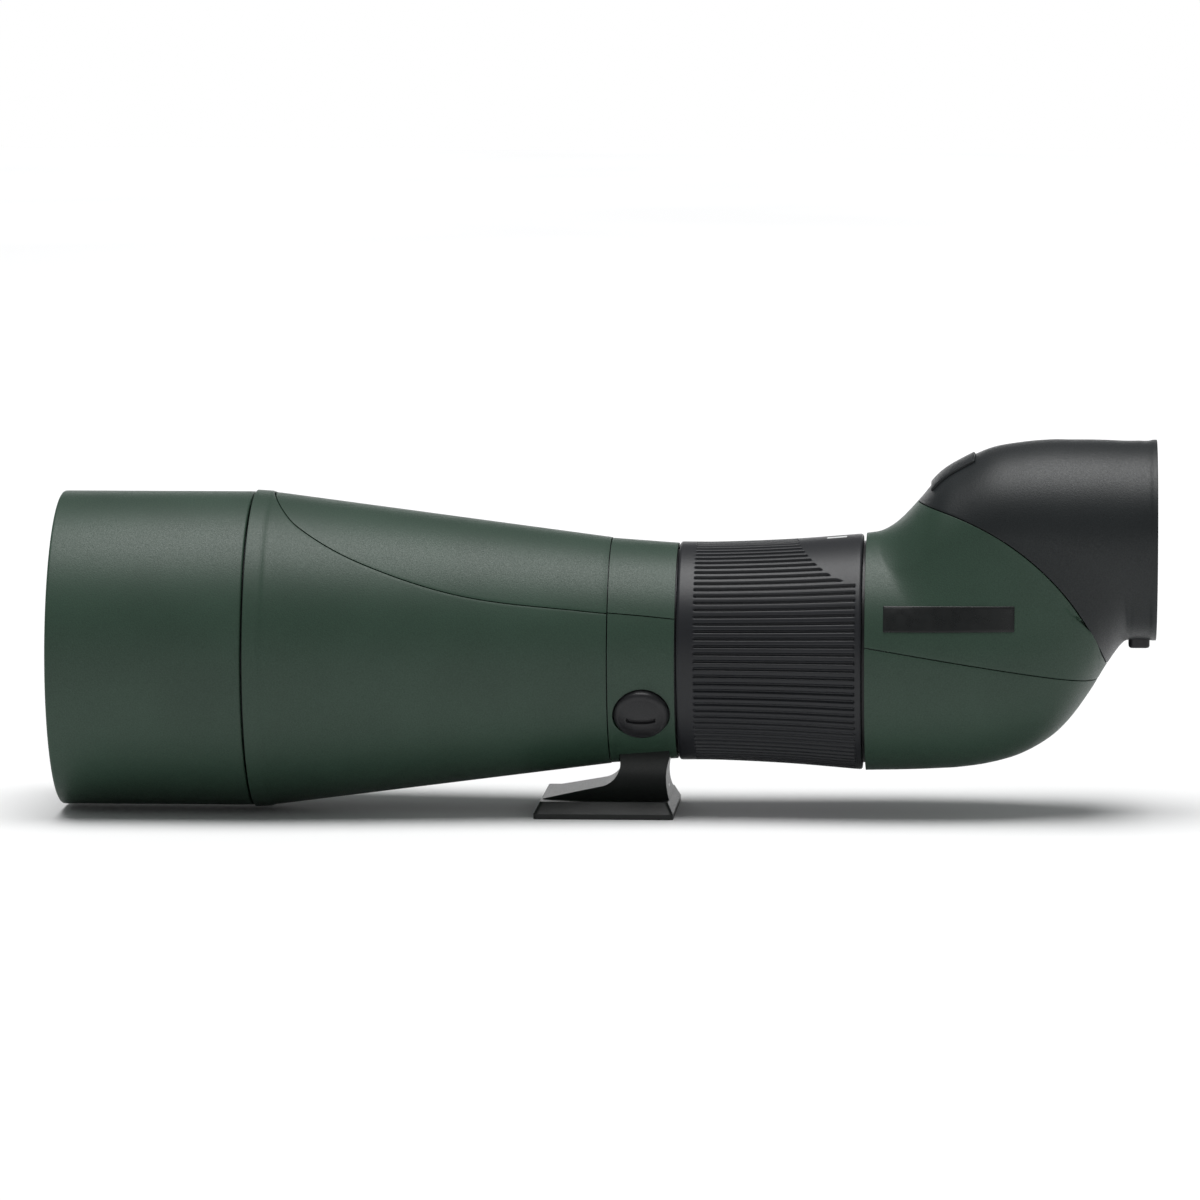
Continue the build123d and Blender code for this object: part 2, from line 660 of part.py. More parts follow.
def round_pair(x, bottom, top, lower_r, upper_r, growth):
    """Section of the housing: two rounds one above the other, joined by their tangents."""
    lower_z, upper_z = bottom + lower_r, top - upper_r
    lean = math.asin((lower_r - upper_r) / (upper_z - lower_z))
    lower, upper = lower_r + growth, upper_r + growth
    low_y, low_z = lower * math.cos(lean), lower_z + lower * math.sin(lean)
    up_y, up_z = upper * math.cos(lean), upper_z + upper * math.sin(lean)
    with BuildSketch(Plane.YZ.offset(x)) as section:
        with BuildLine():
            ThreePointArc((low_y, low_z), (0, lower_z - lower), (-low_y, low_z))
            Line((-low_y, low_z), (-up_y, up_z))
            ThreePointArc((-up_y, up_z), (0, upper_z + upper), (up_y, up_z))
            Line((up_y, up_z), (low_y, low_z))
        make_face()
    return section.sketch


def housing_form(growth):
    """The whole prism housing as far as its eyepiece collar, grown outwards by growth."""
    with BuildPart() as form:
        loft([round_pair(*station, growth) for station in HOUSING_STATIONS], ruled=True)
    return form.part


def boundary_block(radius):
    """Everything in front of the curved edge of the rear cover."""
    with BuildSketch(SIDE_PLANE) as region:
        with Locations((BOUNDARY_X, BOUNDARY_Z)):
            Circle(radius)
    return side_block(region.sketch)


def above_shell_seam(shift):
    """Region over the seam between the two housing shells, moved up by shift."""
    (x0, z0), (x1, z1) = SHELL_SEAM
    with BuildSketch(SIDE_PLANE) as region:
        with BuildLine():
            Polyline((x0, z0 + shift), (x1, z1 + shift), (x1, WIDE), (x0, WIDE), close=True)
        make_face()
    return side_block(region.sketch)


def badge_block(side):
    """Window for a badge plate on one side of the housing; side is -1 or +1."""
    with BuildPart() as block:
        with BuildSketch(Plane.XZ):
            with Locations(((BADGE_X0 + BADGE_X1) / 2, BADGE_Z)):
                RectangleRounded(BADGE_X1 - BADGE_X0, BADGE_HIGH, 0.8)
        extrude(amount=-side * 45.0)
    return block.part


def top_plate_block():
    """Window for the raised plate on the front slope of the rear cover."""
    with BuildPart() as block:
        with BuildSketch(Plane.XY.offset(EYEPIECE_Z)):
            with Locations(((TOP_PLATE_X0 + TOP_PLATE_X1) / 2, 0)):
                RectangleRounded(TOP_PLATE_X1 - TOP_PLATE_X0, TOP_PLATE_WIDE, 3.0)
        extrude(amount=40.0)
    return block.part


housing_outer = housing_form(0.0)
housing_inner = housing_form(-COVER)
plate_outer = housing_form(PLATE_STAND)
plate_floor = housing_form(-PLATE_SINK)

with BuildPart() as upper_housing_shell:
    add(housing_outer)
    add(housing_inner, mode=Mode.SUBTRACT)
    add(boundary_block(BOUNDARY_R - SEAM / 2), mode=Mode.INTERSECT)
    add(above_shell_seam(SEAM / 2), mode=Mode.INTERSECT)
    for side in (-1, 1):
        add(badge_block(side) - plate_floor, mode=Mode.SUBTRACT)
save(upper_housing_shell, "upper_housing_shell")

with BuildPart() as lower_housing_shell:
    add(housing_outer)
    add(housing_inner, mode=Mode.SUBTRACT)
    add(boundary_block(BOUNDARY_R - SEAM / 2), mode=Mode.INTERSECT)
    add(above_shell_seam(-SEAM / 2), mode=Mode.SUBTRACT)
save(lower_housing_shell, "lower_housing_shell")

for label, side in (("near_badge_plate", -1), ("far_badge_plate", 1)):
    with BuildPart() as badge_plate:
        add(badge_block(side))
        add(plate_outer, mode=Mode.INTERSECT)
        add(plate_floor, mode=Mode.SUBTRACT)
    save(badge_plate, label)

# eyepiece release button, its slot and its spring
BUTTON_X0, BUTTON_X1, BUTTON_WIDE = 158.6, 165.0, 10.0
BUTTON_LOW, BUTTON_TOP, BUTTON_TRAVEL = 50.9, 55.0, 1.5
BUTTON_SPRING_R, SPRING_TOP = 1.6, 59.3
BUTTON_MID = (BUTTON_X0 + BUTTON_X1) / 2


def button_block(low, top, gap):
    """Block of the release button's outline between two heights, with a gap all round."""
    with BuildPart() as block:
        with BuildSketch(Plane.XY.offset(low)):
            with Locations((BUTTON_MID, 0)):
                RectangleRounded(BUTTON_X1 - BUTTON_X0 + 2 * gap, BUTTON_WIDE + 2 * gap, 1.5)
        extrude(amount=top - low)
    return block.part


with BuildPart() as rear_cover:
    add(housing_outer)
    add(housing_inner, mode=Mode.SUBTRACT)
    add(boundary_block(BOUNDARY_R + SEAM / 2), mode=Mode.SUBTRACT)
    add(top_plate_block() - plate_floor, mode=Mode.SUBTRACT)
save(rear_cover, "rear_cover")

with BuildPart() as eyepiece_collar:
    revolve(
        ring_section(COLLAR_FRONT, COLLAR_REAR, COLLAR_R - COVER, COLLAR_R, plane=EYEPIECE_PLANE),
        axis=EYEPIECE_AXIS,
    )
    add(button_block(BUTTON_LOW - 2.0, BUTTON_TOP + 6.0, 0.3), mode=Mode.SUBTRACT)
save(eyepiece_collar, "eyepiece_collar")

with BuildPart() as top_plate:
    add(top_plate_block())
    add(plate_outer, mode=Mode.INTERSECT)
    add(plate_floor, mode=Mode.SUBTRACT)
save(top_plate, "top_plate")

with BuildPart() as front_bulkhead:
    revolve(ring_section(FLANGE_REAR, FLANGE_REAR + 3.0, 24.0, FLANGE_R), axis=OPTICAL_AXIS)
    with BuildSketch(Plane(origin=(FLANGE_REAR, 0, AXIS_Z), x_dir=(0, 1, 0), z_dir=(1, 0, 0))):
        with PolarLocations(30.2, 4, start_angle=45):
            Circle(SCREW_R)
    extrude(amount=3.0, mode=Mode.SUBTRACT)
save(front_bulkhead, "front_bulkhead")

with BuildPart() as barrel_screws:
    with BuildSketch(Plane(origin=(HOUSING_FRONT + 0.2, 0, AXIS_Z), x_dir=(0, 1, 0), z_dir=(1, 0, 0))):
        with PolarLocations(30.2, 4, start_angle=45):
            Circle(SCREW_R)
    extrude(amount=5.5)
save(barrel_screws, "barrel_screws")

# ---------------------------------------------------------------- prisms
PRISM_PLATE_X0, PRISM_PLATE_X1 = 117.5, 120.5
PRISM_STEP = (EYEPIECE_Z - AXIS_Z) / math.sqrt(2)
PRISM_ROUND = 11.6
HALF_DIAGONAL = 1 / math.sqrt(2)
REAR_RUN = Vector(0, HALF_DIAGONAL, HALF_DIAGONAL)
FRONT_RUN = Vector(0, -HALF_DIAGONAL, HALF_DIAGONAL)
FIRST_BEAM = Vector(0, 0, AXIS_Z)
MIDDLE_BEAM = FIRST_BEAM + REAR_RUN * PRISM_STEP
LAST_BEAM = Vector(0, 0, EYEPIECE_Z)
CLIP_WIDE, CLIP_THICK = 5.0, 0.5
PRISM_SCREW_SPOTS = ((-14.0, 36.0), (16.0, 36.0), (-19.0, 66.0), (18.0, 90.0))


def porro_prism(face_x, beam, run, depth_way):
    """Right-angle prism with rounded ends, its long face at face_x; depth_way is -1 or +1."""
    centre = beam + run * (PRISM_STEP / 2) + Vector(face_x, 0, 0)
    deep = Vector(depth_way, 0, 0)
    with BuildPart() as prism:
        with BuildSketch(Plane(origin=centre, x_dir=run, z_dir=deep)):
            SlotCenterToCenter(PRISM_STEP, 2 * PRISM_ROUND)
        extrude(amount=PRISM_STEP)
        with BuildSketch(Plane(origin=centre, x_dir=run, z_dir=run.cross(deep))):
            with BuildLine():
                Polyline((-PRISM_STEP, 0), (PRISM_STEP, 0), (0, PRISM_STEP), close=True)
            make_face()
        extrude(amount=PRISM_ROUND + 1.0, both=True, mode=Mode.INTERSECT)
    return prism.part


def prism_clip(face_x, beam, run, depth_way):
    """Spring strap over the prism's ridge, with one leg down each side."""
    centre = beam + run * (PRISM_STEP / 2) + Vector(face_x, 0, 0)
    deep = Vector(depth_way, 0, 0)
    inner, outer = PRISM_ROUND + 0.1, PRISM_ROUND + 0.1 + CLIP_THICK
    top = PRISM_STEP + 0.1
    with BuildPart() as clip:
        with BuildSketch(Plane(origin=centre, x_dir=deep.cross(run), z_dir=run)):
            with BuildLine():
                Polyline(
                    (-outer, 0), (-outer, top + CLIP_THICK), (outer, top + CLIP_THICK), (outer, 0),
                    (inner, 0), (inner, top), (-inner, top), (-inner, 0), close=True,
                )
            make_face()
        extrude(amount=CLIP_WIDE / 2, both=True)
    return clip.part


with BuildPart() as prism_plate:
    plate_outline = round_pair(PRISM_PLATE_X0, 15.8, 111.2, 34.0, 29.2, -COVER - 0.8)
    extrude(plate_outline, amount=PRISM_PLATE_X1 - PRISM_PLATE_X0)
    with BuildSketch(Plane.YZ.offset(PRISM_PLATE_X0)):
        with Locations(*[(beam.Y, beam.Z) for beam in (FIRST_BEAM, MIDDLE_BEAM, LAST_BEAM)]):
            Circle(PRISM_ROUND - 0.8)
        with Locations(*PRISM_SCREW_SPOTS):
            Circle(SCREW_R)
    extrude(amount=PRISM_PLATE_X1 - PRISM_PLATE_X0, mode=Mode.SUBTRACT)
save(prism_plate, "prism_plate")

with BuildPart() as rear_prism:
    add(porro_prism(PRISM_PLATE_X1, FIRST_BEAM, REAR_RUN, 1))
save(rear_prism, "rear_prism")

with BuildPart() as front_prism:
    add(porro_prism(PRISM_PLATE_X0, MIDDLE_BEAM, FRONT_RUN, -1))
save(front_prism, "front_prism")

with BuildPart() as prism_clips:
    add(prism_clip(PRISM_PLATE_X1, FIRST_BEAM, REAR_RUN, 1))
    add(prism_clip(PRISM_PLATE_X0, MIDDLE_BEAM, FRONT_RUN, -1))
save(prism_clips, "prism_clips")

with BuildPart() as prism_screws:
    with BuildSketch(Plane.YZ.offset(PRISM_PLATE_X0 - 1.5)):
        with Locations(*PRISM_SCREW_SPOTS):
            Circle(2 * SCREW_R)
    extrude(amount=1.5)
    with BuildSketch(Plane.YZ.offset(PRISM_PLATE_X0)):
        with Locations(*PRISM_SCREW_SPOTS):
            Circle(SCREW_R)
    extrude(amount=PRISM_PLATE_X1 - PRISM_PLATE_X0)
save(prism_screws, "prism_screws")

# ---------------------------------------------------------------- eyepiece mount
SOCKET_FRONT = 158.0
WINDOW_FRONT, WINDOW_REAR, WINDOW_R = 152.0, 155.0, 20.2
BAYONET_OUT, BAYONET_NECK = COLLAR_R - COVER - 0.1, 26.6
NOTCH_R, NOTCH_DEG, NOTCH_FRONT = 24.6, 25.0, 161.0
BAYONET_SCREW_R, BAYONET_SCREW_HEAD = 0.9, 1.6
BAYONET_SCREW_PITCH_R = 25.4
BAYONET_SCREW_ANGLES = (55, 125, 235, 305)


def eyepiece_plane(x):
    """Plane square to the eyepiece axis, seen from behind."""
    return Plane(origin=(x, 0, EYEPIECE_Z), x_dir=(0, 1, 0), z_dir=(1, 0, 0))


def around_socket(angles, radius):
    """Points round the eyepiece axis at the given angles."""
    return [(radius * math.cos(math.radians(a)), radius * math.sin(math.radians(a))) for a in angles]


with BuildPart() as bayonet_ring:
    revolve(
        half_section(
            (151.0, 18.5),
            (WINDOW_FRONT, 18.5),
            (WINDOW_FRONT, WINDOW_R),
            (157.0, WINDOW_R),
            (SOCKET_FRONT, WINDOW_R),
            (SOCKET_FRONT, SOCKET_R),
            (COLLAR_REAR, SOCKET_R),
            (COLLAR_REAR, BAYONET_OUT),
            (COLLAR_FRONT, BAYONET_OUT),
            (COLLAR_FRONT, BAYONET_NECK),
            (151.0, BAYONET_NECK),
            plane=EYEPIECE_PLANE,
        ),
        axis=EYEPIECE_AXIS,
    )
    for notch in (90, 210, 330):
        with BuildSketch(eyepiece_plane(NOTCH_FRONT)):
            with BuildLine():
                half = NOTCH_DEG / 2
                arc = CenterArc((0, 0), NOTCH_R, notch - half, NOTCH_DEG)
                Polyline(arc @ 1, (0, 0), arc @ 0)
            make_face()
        extrude(amount=COLLAR_REAR - NOTCH_FRONT, mode=Mode.SUBTRACT)
    with BuildSketch(eyepiece_plane(COLLAR_REAR - 7.0)):
        with Locations(*around_socket(BAYONET_SCREW_ANGLES, BAYONET_SCREW_PITCH_R)):
            Circle(BAYONET_SCREW_R)
    extrude(amount=7.0, mode=Mode.SUBTRACT)
    with BuildSketch(eyepiece_plane(COLLAR_REAR - 1.0)):
        with Locations(*around_socket(BAYONET_SCREW_ANGLES, BAYONET_SCREW_PITCH_R)):
            Circle(BAYONET_SCREW_HEAD)
    extrude(amount=1.0, mode=Mode.SUBTRACT)
    add(button_block(BUTTON_LOW - 2.0, BUTTON_TOP + BUTTON_TRAVEL + 0.4, 0.3), mode=Mode.SUBTRACT)
    with BuildSketch(Plane.XY.offset(BUTTON_TOP)):
        with Locations((BUTTON_MID, 0)):
            Circle(BUTTON_SPRING_R + 0.2)
    extrude(amount=SPRING_TOP - BUTTON_TOP, mode=Mode.SUBTRACT)
save(bayonet_ring, "bayonet_ring")

with BuildPart() as bayonet_screws:
    with BuildSketch(eyepiece_plane(COLLAR_REAR - 6.5)):
        with Locations(*around_socket(BAYONET_SCREW_ANGLES, BAYONET_SCREW_PITCH_R)):
            Circle(BAYONET_SCREW_R)
    extrude(amount=5.5)
    with BuildSketch(eyepiece_plane(COLLAR_REAR - 1.0)):
        with Locations(*around_socket(BAYONET_SCREW_ANGLES, BAYONET_SCREW_PITCH_R)):
            Circle(BAYONET_SCREW_HEAD)
    extrude(amount=0.9)
save(bayonet_screws, "bayonet_screws")

with BuildPart() as eyepiece_window:
    revolve(
        ring_section(WINDOW_FRONT, WINDOW_REAR, 0.0, WINDOW_R, plane=EYEPIECE_PLANE),
        axis=EYEPIECE_AXIS,
    )
save(eyepiece_window, "eyepiece_window")

with BuildPart() as window_retainer:
    revolve(
        ring_section(WINDOW_REAR, SOCKET_FRONT, 18.5, WINDOW_R, plane=EYEPIECE_PLANE),
        axis=EYEPIECE_AXIS,
    )
save(window_retainer, "window_retainer")

with BuildPart() as eyepiece_release:
    add(button_block(BUTTON_LOW, BUTTON_TOP, 0.0))
    fillet(eyepiece_release.faces().sort_by(Axis.Z)[0].edges(), radius=0.8)
save(eyepiece_release, "eyepiece_release")

with BuildPart() as release_spring:
    with BuildSketch(Plane.XY.offset(BUTTON_TOP)):
        with Locations((BUTTON_MID, 0)):
            Circle(BUTTON_SPRING_R)
            Circle(BUTTON_SPRING_R - 0.5, mode=Mode.SUBTRACT)
    extrude(amount=SPRING_TOP - BUTTON_TOP)
save(release_spring, "release_spring")
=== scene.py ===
"""Looks of the spotting scope: meshes, materials, light and camera over the CAD frame."""
import json
import math

import bmesh
import bpy
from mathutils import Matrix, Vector


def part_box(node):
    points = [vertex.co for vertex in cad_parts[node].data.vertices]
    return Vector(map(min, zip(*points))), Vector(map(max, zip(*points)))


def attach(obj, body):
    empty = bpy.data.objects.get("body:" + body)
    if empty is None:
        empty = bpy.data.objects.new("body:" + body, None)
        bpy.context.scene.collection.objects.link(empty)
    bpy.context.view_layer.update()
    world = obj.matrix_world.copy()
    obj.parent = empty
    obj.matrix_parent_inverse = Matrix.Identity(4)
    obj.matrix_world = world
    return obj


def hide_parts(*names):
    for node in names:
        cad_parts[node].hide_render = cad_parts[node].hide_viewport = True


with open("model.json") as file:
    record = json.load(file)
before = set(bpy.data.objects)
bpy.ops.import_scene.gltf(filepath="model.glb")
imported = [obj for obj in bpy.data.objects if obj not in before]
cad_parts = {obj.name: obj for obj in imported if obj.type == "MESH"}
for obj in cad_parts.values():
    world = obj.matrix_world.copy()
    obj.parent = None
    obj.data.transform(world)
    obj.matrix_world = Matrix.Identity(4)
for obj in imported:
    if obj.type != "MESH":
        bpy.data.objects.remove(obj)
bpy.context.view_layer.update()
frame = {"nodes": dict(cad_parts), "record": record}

MM = 0.001
washer_low, washer_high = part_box("focus_washer")
AXIS_Z = (washer_low[2] + washer_high[2]) / 2
AXIS_MM = AXIS_Z / MM
# half of the gap at a seam, in millimetres
SEAM_HALF = 0.15
PANEL_WALL = 1.6 * MM
CONE_EDGE, HOUSING_EDGE = 0.35 * MM, 0.25 * MM


# ---------------------------------------------------------------- materials
def new_material(name):
    """An empty node material and its shader, ready for texture nodes."""
    material = bpy.data.materials.new(name)
    material.use_nodes = True
    nodes = material.node_tree.nodes
    return material, nodes, material.node_tree.links, nodes["Principled BSDF"]


def noise(nodes, links, scale, detail=2.0, roughness=0.5):
    """Noise in the object's own metres."""
    place = nodes.new("ShaderNodeTexCoord")
    texture = nodes.new("ShaderNodeTexNoise")
    texture.inputs["Scale"].default_value = scale
    texture.inputs["Detail"].default_value = detail
    texture.inputs["Roughness"].default_value = roughness
    links.new(place.outputs["Object"], texture.inputs["Vector"])
    return texture


def ramp(nodes, links, source, stops):
    """Colour ramp on a value; each stop is (position, colour)."""
    band = nodes.new("ShaderNodeValToRGB")
    band.color_ramp.elements[0].position, band.color_ramp.elements[0].color = stops[0]
    band.color_ramp.elements[1].position, band.color_ramp.elements[1].color = stops[-1]
    for position, colour in stops[1:-1]:
        band.color_ramp.elements.new(position).color = colour
    links.new(source, band.inputs["Fac"])
    return band


def grey(value):
    return (value, value, value, 1.0)


def armour(name, dark, light, grain_mm, roughness, bump):
    """Moulded rubber with a fine leather-like grain, handled a little on its high spots."""
    material, nodes, links, shader = new_material(name)
    grain = noise(nodes, links, 1.0 / (grain_mm * MM), 3.0, 0.6)
    cloud = noise(nodes, links, 28.0, 3.0, 0.55)
    mottled = nodes.new("ShaderNodeMix")
    mottled.data_type = "FLOAT"
    mottled.inputs[0].default_value = 0.4
    links.new(grain.outputs["Fac"], mottled.inputs[2])
    links.new(cloud.outputs["Fac"], mottled.inputs[3])
    colour = ramp(nodes, links, mottled.outputs[0], [(0.36, (*dark, 1)), (0.64, (*light, 1))])
    links.new(colour.outputs["Color"], shader.inputs["Base Color"])
    gloss = ramp(
        nodes, links, grain.outputs["Fac"],
        [(0.3, grey(roughness + 0.1)), (0.7, grey(roughness - 0.08))],
    )
    links.new(gloss.outputs["Color"], shader.inputs["Roughness"])
    relief = nodes.new("ShaderNodeBump")
    relief.inputs["Strength"].default_value = bump
    relief.inputs["Distance"].default_value = 0.06 * MM
    links.new(grain.outputs["Fac"], relief.inputs["Height"])
    links.new(relief.outputs["Normal"], shader.inputs["Normal"])
    shader.inputs["Specular IOR Level"].default_value = 0.34
    return material


def metal(name, colour, roughness, metallic=1.0, brush=0.08):
    """Machined or anodised metal with faint tool marks."""
    material, nodes, links, shader = new_material(name)
    marks = noise(nodes, links, 900.0, 4.0, 0.6)
    gloss = ramp(
        nodes, links, marks.outputs["Fac"],
        [(0.3, grey(roughness + brush)), (0.7, grey(roughness - brush))],
    )
    links.new(gloss.outputs["Color"], shader.inputs["Roughness"])
    tone = ramp(
        nodes, links, noise(nodes, links, 60.0).outputs["Fac"],
        [(0.3, (*[c * 0.85 for c in colour], 1)), (0.7, (*colour, 1))],
    )
    links.new(tone.outputs["Color"], shader.inputs["Base Color"])
    shader.inputs["Metallic"].default_value = metallic
    return material


def coated_glass(name):
    """Optical glass with a faint green-violet coating."""
    material, nodes, links, shader = new_material(name)
    tint = ramp(
        nodes, links, noise(nodes, links, 9.0, 1.0).outputs["Fac"],
        [(0.4, (0.80, 0.93, 0.84, 1)), (0.6, (0.86, 0.82, 0.95, 1))],
    )
    links.new(tint.outputs["Color"], shader.inputs["Base Color"])
    shader.inputs["Roughness"].default_value = 0.02
    shader.inputs["IOR"].default_value = 1.52
    shader.inputs["Transmission Weight"].default_value = 0.92
    shader.inputs["Specular Tint"].default_value = (0.55, 0.75, 0.6, 1)
    return material


GREEN = armour("green_armour", (0.019, 0.042, 0.027), (0.029, 0.060, 0.040), 0.42, 0.44, 0.8)
BLACK = armour("black_armour", (0.006, 0.008, 0.009), (0.013, 0.016, 0.017), 0.42, 0.42, 0.9)
GRIP = armour("grip_rubber", (0.008, 0.009, 0.011), (0.013, 0.014, 0.017), 0.25, 0.40, 0.2)
MOULDED = armour("moulded_black", (0.010, 0.010, 0.011), (0.018, 0.018, 0.020), 0.3, 0.36, 0.25)
CAST = armour("cast_black", (0.008, 0.010, 0.009), (0.016, 0.018, 0.017), 0.35, 0.38, 0.3)
ANODISED = metal("black_anodised", (0.03, 0.031, 0.034), 0.36, 0.6)
STEEL = metal("steel", (0.55, 0.55, 0.56), 0.3)
BRASS = metal("brass", (0.72, 0.55, 0.25), 0.32)
GLASS = coated_glass("coated_glass")
PLATE = armour("badge_black", (0.007, 0.008, 0.008), (0.009, 0.010, 0.010), 3.0, 0.30, 0.04)
INK = armour("white_ink", (0.62, 0.63, 0.62), (0.72, 0.73, 0.72), 0.5, 0.5, 0.1)

SLOT_LOOKS = {
    "green_armour": GREEN,
    "green_shell": GREEN,
    "black_cover": BLACK,
    "black_rubber": GRIP,
    "black_metal": ANODISED,
    "black_plastic": MOULDED,
    "glide_plastic": MOULDED,
    "seal_rubber": GRIP,
    "steel": STEEL,
    "brass": BRASS,
    "optical_glass": GLASS,
}
NODE_LOOKS = {"tripod_foot": CAST, "near_badge_plate": PLATE, "far_badge_plate": PLATE}

for part in frame["record"]["subparts"]:
    node = frame["nodes"][part["node"]]
    look = NODE_LOOKS.get(part["node"], SLOT_LOOKS[part["material_slot"]])
    for place in node.material_slots:
        place.material = look


# ---------------------------------------------------------------- mesh helpers
def mesh_object(name, rows, material, closed_loop=False, smooth=True):
    """Object from rows of points, each row the same length; closed_loop joins a row's two ends."""
    mesh = bmesh.new()
    grid = [[mesh.verts.new(point) for point in row] for row in rows]
    width = len(rows[0])
    for first, second in zip(grid, grid[1:]):
        for i in range(width if closed_loop else width - 1):
            j = (i + 1) % width
            mesh.faces.new((first[i], first[j], second[j], second[i]))
    bmesh.ops.remove_doubles(mesh, verts=mesh.verts, dist=1e-6)
    bmesh.ops.recalc_face_normals(mesh, faces=mesh.faces)
    data = bpy.data.meshes.new(name)
    mesh.to_mesh(data)
    mesh.free()
    for face in data.polygons:
        face.use_smooth = smooth
    piece = bpy.data.objects.new(name, data)
    piece.data.materials.append(material)
    bpy.context.scene.collection.objects.link(piece)
    return piece


def face_outwards(piece, centre_z):
    """Turn the faces so that they look away from an axis along X at centre_z."""
    total = 0.0
    for face in piece.data.polygons:
        away = Vector((0, face.center.y, face.center.z - centre_z))
        total += face.normal.dot(away) * face.area
    if total < 0:
        piece.data.flip_normals()


def thicken(piece, wall, edge, centre_z):
    """Give an outer skin its wall, inwards, and soften its edges."""
    face_outwards(piece, centre_z)
    solid = piece.modifiers.new("wall", "SOLIDIFY")
    solid.thickness = wall
    solid.offset = -1.0
    solid.use_even_offset = True
    soft = piece.modifiers.new("edge", "BEVEL")
    soft.width = edge
    soft.segments = 3
    soft.limit_method = "ANGLE"
    soft.angle_limit = math.radians(50)
    soft.use_clamp_overlap = True


def spread(start, end, count):
    """count values from start to end, both included."""
    return [start + (end - start) * i / (count - 1) for i in range(count)]


def ease(value):
    """Smooth step from 0 to 1."""
    t = min(max(value, 0.0), 1.0)
    return t * t * (3 - 2 * t)


def on_axis(x, radius, angle):
    """Point round the optical axis, from millimetres; the angle starts at the near side."""
    return (x * MM, -radius * MM * math.cos(angle), AXIS_Z + radius * MM * math.sin(angle))


def lathe(name, outline, material, turns=192):
    """Closed turned piece from (x, radius) points in millimetres, starting at the far side."""
    rows = []
    for x, radius in outline + outline[:1]:
        row = []
        for i in range(turns):
            angle = 2 * math.pi * i / turns
            row.append(
                (x * MM, radius * MM * math.cos(angle), AXIS_Z + radius * MM * math.sin(angle))
            )
        rows.append(row)
    return mesh_object(name, rows, material, closed_loop=True)


def rounded(points, radius, steps=4):
    """Outline with each corner replaced by a short arc."""
    result = []
    count = len(points)
    for i, corner in enumerate(points):
        here = Vector(corner)
        before = Vector(points[i - 1]) - here
        after = Vector(points[(i + 1) % count]) - here
        reach = min(radius, before.length * 0.45, after.length * 0.45)
        start = here + before.normalized() * reach
        end = here + after.normalized() * reach
        for step in range(steps + 1):
            result.append(bezier(start, here, end, step / steps))
    return result


def bezier(start, peak, end, t):
    """Point on the short arc from start to end that leans towards peak."""
    return tuple(start * (1 - t) ** 2 + peak * 2 * t * (1 - t) + end * t**2)


def box_mm(node):
    """A node's corners in millimetres."""
    low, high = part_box(node)
    return Vector(low) / MM, Vector(high) / MM


# ---------------------------------------------------------------- sun shade
SHADE_MOUTH_WALL, SHADE_LIP, SHADE_ROUND = 1.3, 0.8, 0.9


def sun_shade():
    """Armoured sleeve with a lip that turns in over the mouth of its tube."""
    low, high = box_mm("sun_shade_armour")
    tube_low, tube_high = box_mm("sun_shade_tube")
    outer = (high.y - low.y) / 2
    tube = (tube_high.y - tube_low.y) / 2
    outline = [
        (low.x, tube - SHADE_MOUTH_WALL),
        (low.x, outer),
        (high.x, outer),
        (high.x, tube),
        (low.x + SHADE_LIP, tube),
        (low.x + SHADE_LIP, tube - SHADE_MOUTH_WALL),
    ]
    shade = lathe("sun_shade_skin", rounded(outline, SHADE_ROUND), GREEN)
    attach(shade, "sun_shade")
    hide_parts("sun_shade_armour")


sun_shade()

# ---------------------------------------------------------------- cone and its curved seam
# the seam's (x, z) as it runs back from the top of the shoulder
SEAM_POINTS = (
    (-102.3, 97.6), (-93.0, 88.7), (-73.0, 78.2), (-42.5, 68.6), (-6.5, 64.0), (24.0, 61.2),
)
PANEL_TIP, SHOULDER_END = -101.7, -99.0


def smooth_through(points, x):
    """Smooth curve through points with rising x, read at x."""
    last = len(points) - 1
    i = 0
    while i < last - 1 and x > points[i + 1][0]:
        i += 1
    (x0, y0), (x1, y1) = points[i], points[i + 1]
    step = x1 - x0
    rise = (y1 - y0) / step
    left = rise if i == 0 else (y1 - points[i - 1][1]) / (x1 - points[i - 1][0])
    right = rise if i == last - 1 else (points[i + 2][1] - y0) / (points[i + 2][0] - x0)
    t = min(max((x - x0) / step, 0.0), 1.0)
    return (
        y0 * (1 + 2 * t) * (1 - t) ** 2
        + left * step * t * (1 - t) ** 2
        + y1 * t**2 * (3 - 2 * t)
        + right * step * t**2 * (t - 1)
    )


cone_low, cone_high = box_mm("cone_armour")
CONE_FRONT, CONE_REAR = cone_low.x, cone_high.x
CONE_OUTLINE = ((-107.3, 48.5), (-102.5, 48.2), (-101.6, 47.75), (-100.0, 47.6), (1.3, 34.5))


def cone_radius(x):
    """Radius of the cone's armour."""
    for (x0, r0), (x1, r1) in zip(CONE_OUTLINE, CONE_OUTLINE[1:]):
        if x <= x1:
            return r0 + (r1 - r0) * (x - x0) / (x1 - x0)
    return CONE_OUTLINE[-1][1]


def seam_angle(x, radius, shift):
    """Angle of the seam above the horizontal, moved up by shift millimetres."""
    if x < SEAM_POINTS[0][0]:
        return math.pi / 2
    lift = (smooth_through(SEAM_POINTS, x) + shift - AXIS_MM) / radius
    return math.asin(min(lift, 1.0))


def round_row(x, radius, start, end, count):
    """Points round the optical axis between two angles above the horizontal."""
    return [on_axis(x, radius, angle) for angle in spread(start, end, count)]


